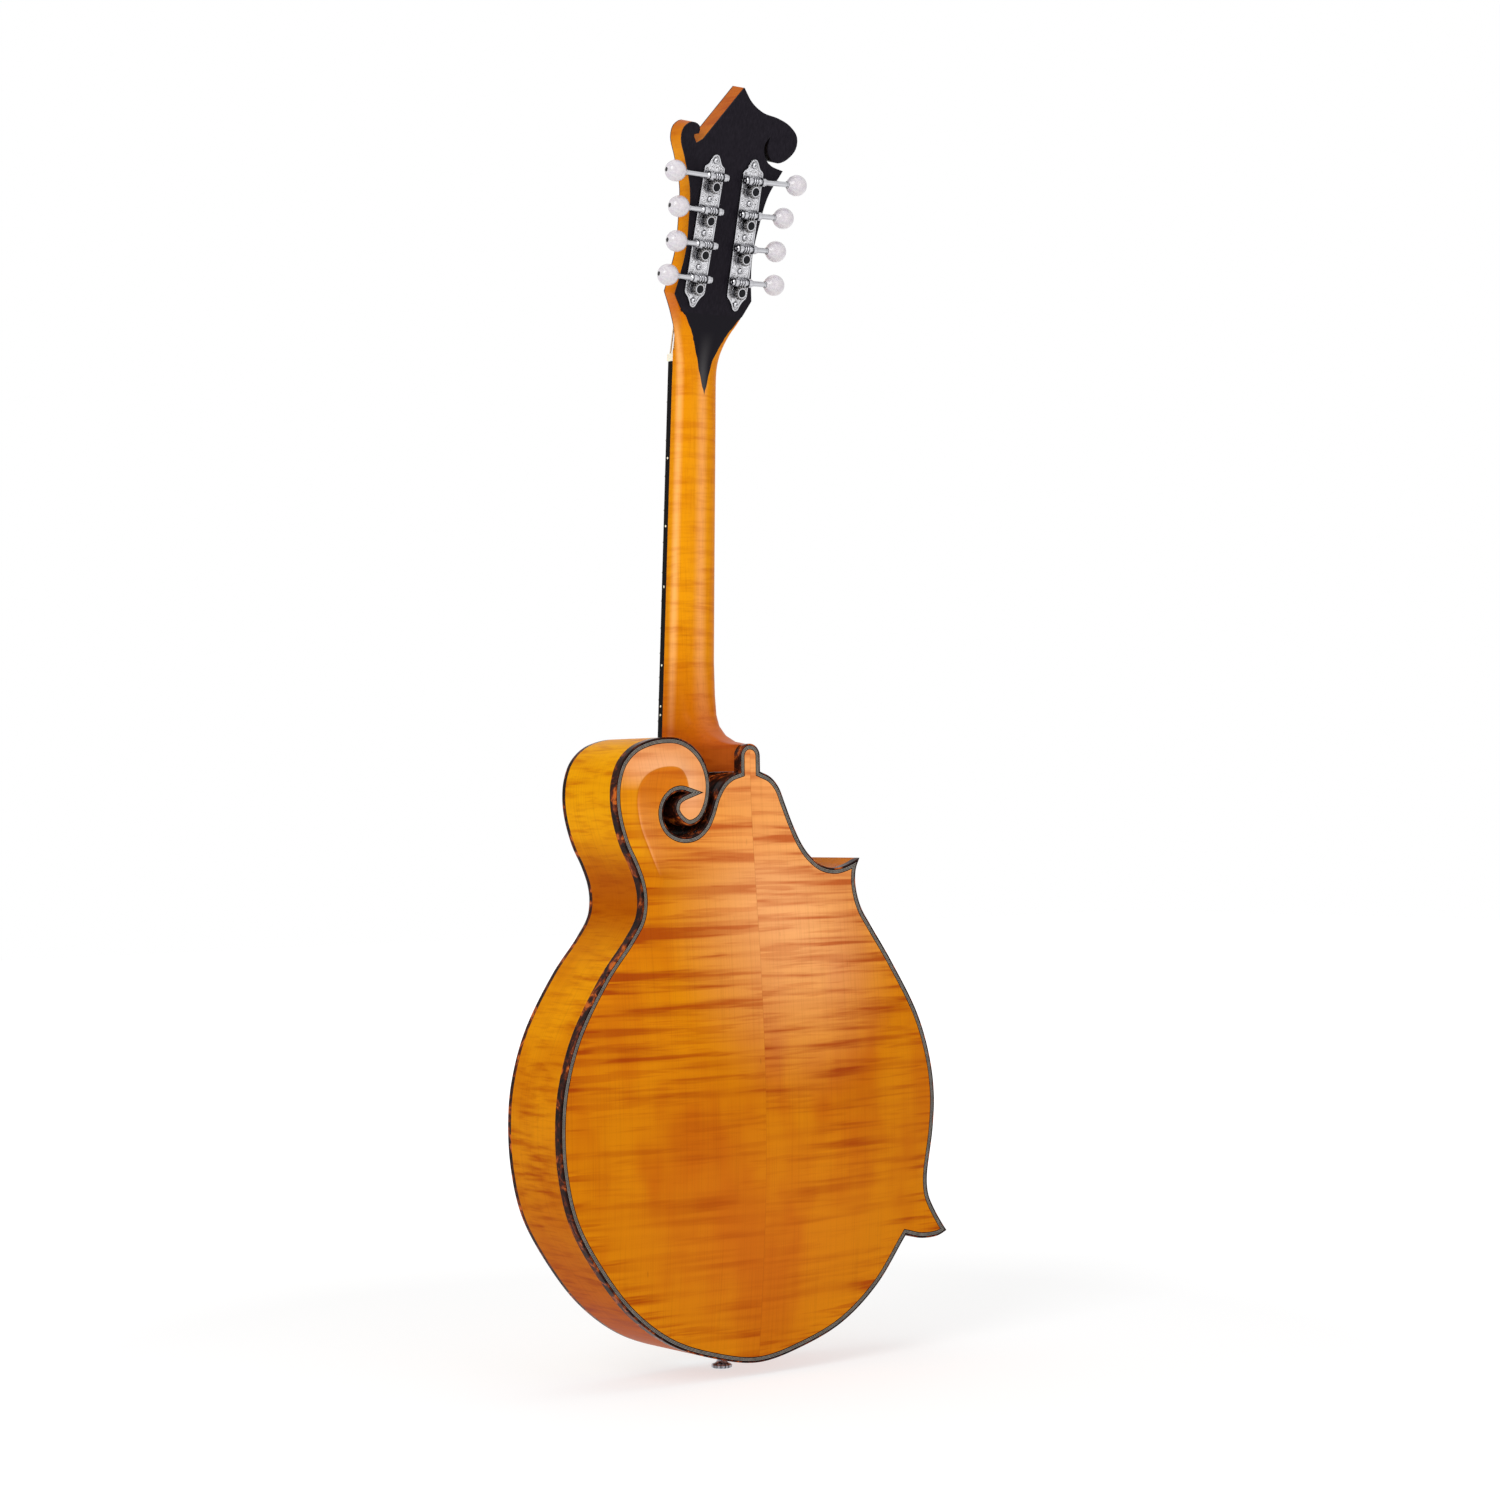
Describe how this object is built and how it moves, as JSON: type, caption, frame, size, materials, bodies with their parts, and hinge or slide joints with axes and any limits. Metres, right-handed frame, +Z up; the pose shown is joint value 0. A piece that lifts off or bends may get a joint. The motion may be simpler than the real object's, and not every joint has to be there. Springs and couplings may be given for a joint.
{
  "type": "octave mandolin",
  "caption": "Scroll-bodied octave mandolin with carved plates, oval sound hole, adjustable bridge and geared tuners that turn.",
  "frame": {"origin": "middle of the strap button's end face, on the button's axis", "axes": "+Z up the neck, +Y out of the back, -Y out of the top where the strings run, +X towards the scroll"},
  "size_m": [0.3214, 0.1125, 0.8704],
  "materials": {
    "maple": "flamed maple, amber, satin gloss",
    "spruce": "straight-grained spruce, amber",
    "inside_wood": "bare spruce",
    "tortoise": "dark tortoise, polished",
    "ebony": "oiled ebony",
    "black_veneer": "black lacquered veneer",
    "bone": "polished bone",
    "pearl": "white pearl",
    "tuner_plate_metal": "bright, engraved",
    "worm_metal": "bright",
    "post_metal": "bright",
    "tailpiece_metal": "bright",
    "button_metal": "bright",
    "wheel_brass": "turned brass",
    "bar_steel": "plain steel",
    "wound_string": "wound bronze",
    "plain_string": "plain steel"
  },
  "bodies": {
    "body": {"back_plate": "maple", "binding_back": "tortoise", "binding_top": "tortoise", "bridge_base": "ebony", "fingerboard": "ebony", "head_back_overlay": "black_veneer", "head_block": "inside_wood", "headplate": "black_veneer", "lining_back_point_side": "inside_wood", "lining_back_scroll_side": "inside_wood", "lining_top_point_side": "inside_wood", "lining_top_scroll_side": "inside_wood", "lower_point_block": "inside_wood", "neck": "maple", "neck_bar": "bar_steel", "nut": "bone", "ribs": "maple", "strap_button": "button_metal", "string_1": "wound_string", "string_2": "wound_string", "string_3": "wound_string", "string_4": "wound_string", "string_5": "plain_string", "string_6": "plain_string", "string_7": "plain_string", "string_8": "plain_string", "tail_block": "inside_wood", "tailpiece": "tailpiece_metal", "top_brace": "inside_wood", "top_plate": "spruce", "tuner_plate_point": "tuner_plate_metal", "tuner_plate_scroll": "tuner_plate_metal", "upper_point_block": "inside_wood"},
    "tuner_scroll_1": {"knob_scroll_1": "pearl", "worm_shaft_scroll_1": "worm_metal"},
    "post_scroll_1": {"string_post_scroll_1": "post_metal"},
    "tuner_scroll_2": {"knob_scroll_2": "pearl", "worm_shaft_scroll_2": "worm_metal"},
    "post_scroll_2": {"string_post_scroll_2": "post_metal"},
    "tuner_scroll_3": {"knob_scroll_3": "pearl", "worm_shaft_scroll_3": "worm_metal"},
    "post_scroll_3": {"string_post_scroll_3": "post_metal"},
    "tuner_scroll_4": {"knob_scroll_4": "pearl", "worm_shaft_scroll_4": "worm_metal"},
    "post_scroll_4": {"string_post_scroll_4": "post_metal"},
    "tuner_point_1": {"knob_point_1": "pearl", "worm_shaft_point_1": "worm_metal"},
    "post_point_1": {"string_post_point_1": "post_metal"},
    "tuner_point_2": {"knob_point_2": "pearl", "worm_shaft_point_2": "worm_metal"},
    "post_point_2": {"string_post_point_2": "post_metal"},
    "tuner_point_3": {"knob_point_3": "pearl", "worm_shaft_point_3": "worm_metal"},
    "post_point_3": {"string_post_point_3": "post_metal"},
    "tuner_point_4": {"knob_point_4": "pearl", "worm_shaft_point_4": "worm_metal"},
    "post_point_4": {"string_post_point_4": "post_metal"},
    "saddle_body": {"saddle": "ebony"},
    "wheel_scroll": {"thumbwheel_scroll": "wheel_brass"},
    "wheel_point": {"thumbwheel_point": "wheel_brass"}
  },
  "joints": [
    {"name": "tuner_scroll_1_turn", "type": "hinge", "parent": "body", "child": "tuner_scroll_1", "pos_m": [0.01627, 0.03811, 0.80671], "axis": [0.9998, 0.0051, 0.0176], "continuous": true},
    {"name": "post_scroll_1_turn", "type": "hinge", "parent": "body", "child": "post_scroll_1", "pos_m": [0.0164, 0.0375, 0.7996], "axis": [0, 0.9603, -0.279], "continuous": true},
    {"name": "tuner_scroll_2_turn", "type": "hinge", "parent": "body", "child": "tuner_scroll_2", "pos_m": [0.01669, 0.03169, 0.78463], "axis": [0.9998, 0.0051, 0.0176], "continuous": true},
    {"name": "post_scroll_2_turn", "type": "hinge", "parent": "body", "child": "post_scroll_2", "pos_m": [0.01682, 0.03108, 0.77751], "axis": [0, 0.9603, -0.279], "continuous": true},
    {"name": "tuner_scroll_3_turn", "type": "hinge", "parent": "body", "child": "tuner_scroll_3", "pos_m": [0.01711, 0.02527, 0.76254], "axis": [0.9998, 0.0051, 0.0176], "continuous": true},
    {"name": "post_scroll_3_turn", "type": "hinge", "parent": "body", "child": "post_scroll_3", "pos_m": [0.01724, 0.02467, 0.75543], "axis": [0, 0.9603, -0.279], "continuous": true},
    {"name": "tuner_scroll_4_turn", "type": "hinge", "parent": "body", "child": "tuner_scroll_4", "pos_m": [0.01754, 0.01886, 0.74045], "axis": [0.9998, 0.0051, 0.0176], "continuous": true},
    {"name": "post_scroll_4_turn", "type": "hinge", "parent": "body", "child": "post_scroll_4", "pos_m": [0.01767, 0.01825, 0.73334], "axis": [0, 0.9603, -0.279], "continuous": true},
    {"name": "tuner_point_1_turn", "type": "hinge", "parent": "body", "child": "tuner_point_1", "pos_m": [-0.01627, 0.03811, 0.80671], "axis": [-0.9998, 0.0051, 0.0176], "continuous": true},
    {"name": "post_point_1_turn", "type": "hinge", "parent": "body", "child": "post_point_1", "pos_m": [-0.0164, 0.0375, 0.7996], "axis": [0, 0.9603, -0.279], "continuous": true},
    {"name": "tuner_point_2_turn", "type": "hinge", "parent": "body", "child": "tuner_point_2", "pos_m": [-0.01669, 0.03169, 0.78463], "axis": [-0.9998, 0.0051, 0.0176], "continuous": true},
    {"name": "post_point_2_turn", "type": "hinge", "parent": "body", "child": "post_point_2", "pos_m": [-0.01682, 0.03108, 0.77751], "axis": [0, 0.9603, -0.279], "continuous": true},
    {"name": "tuner_point_3_turn", "type": "hinge", "parent": "body", "child": "tuner_point_3", "pos_m": [-0.01711, 0.02527, 0.76254], "axis": [-0.9998, 0.0051, 0.0176], "continuous": true},
    {"name": "post_point_3_turn", "type": "hinge", "parent": "body", "child": "post_point_3", "pos_m": [-0.01724, 0.02467, 0.75543], "axis": [0, 0.9603, -0.279], "continuous": true},
    {"name": "tuner_point_4_turn", "type": "hinge", "parent": "body", "child": "tuner_point_4", "pos_m": [-0.01754, 0.01886, 0.74045], "axis": [-0.9998, 0.0051, 0.0176], "continuous": true},
    {"name": "post_point_4_turn", "type": "hinge", "parent": "body", "child": "post_point_4", "pos_m": [-0.01767, 0.01825, 0.73334], "axis": [0, 0.9603, -0.279], "continuous": true},
    {"name": "saddle_height", "type": "slide", "parent": "body", "child": "saddle_body", "axis": [0, -1, 0], "range_m": [-0.0014, 0.0014], "deforming": ["string_1", "string_2", "string_3", "string_4", "string_5", "string_6", "string_7", "string_8"]},
    {"name": "wheel_scroll_turn", "type": "hinge", "parent": "saddle_body", "child": "wheel_scroll", "pos_m": [0.026, -0.0449, 0.1926], "axis": [0, -1, 0], "range_deg": [-721, 721]},
    {"name": "wheel_point_turn", "type": "hinge", "parent": "saddle_body", "child": "wheel_point", "pos_m": [-0.026, -0.0449, 0.1926], "axis": [0, -1, 0], "range_deg": [-721, 721]}
  ],
  "couplings": [
    {"joint": "tuner_scroll_1_turn", "follows": "post_scroll_1_turn", "ratio": -14},
    {"joint": "tuner_scroll_2_turn", "follows": "post_scroll_2_turn", "ratio": -14},
    {"joint": "tuner_scroll_3_turn", "follows": "post_scroll_3_turn", "ratio": -14},
    {"joint": "tuner_scroll_4_turn", "follows": "post_scroll_4_turn", "ratio": -14},
    {"joint": "tuner_point_1_turn", "follows": "post_point_1_turn", "ratio": -14},
    {"joint": "tuner_point_2_turn", "follows": "post_point_2_turn", "ratio": -14},
    {"joint": "tuner_point_3_turn", "follows": "post_point_3_turn", "ratio": -14},
    {"joint": "tuner_point_4_turn", "follows": "post_point_4_turn", "ratio": -14},
    {"joint": "wheel_scroll_turn", "follows": "saddle_height", "rad_per_m": 8976},
    {"joint": "wheel_point_turn", "follows": "saddle_height", "rad_per_m": 8976}
  ]
}
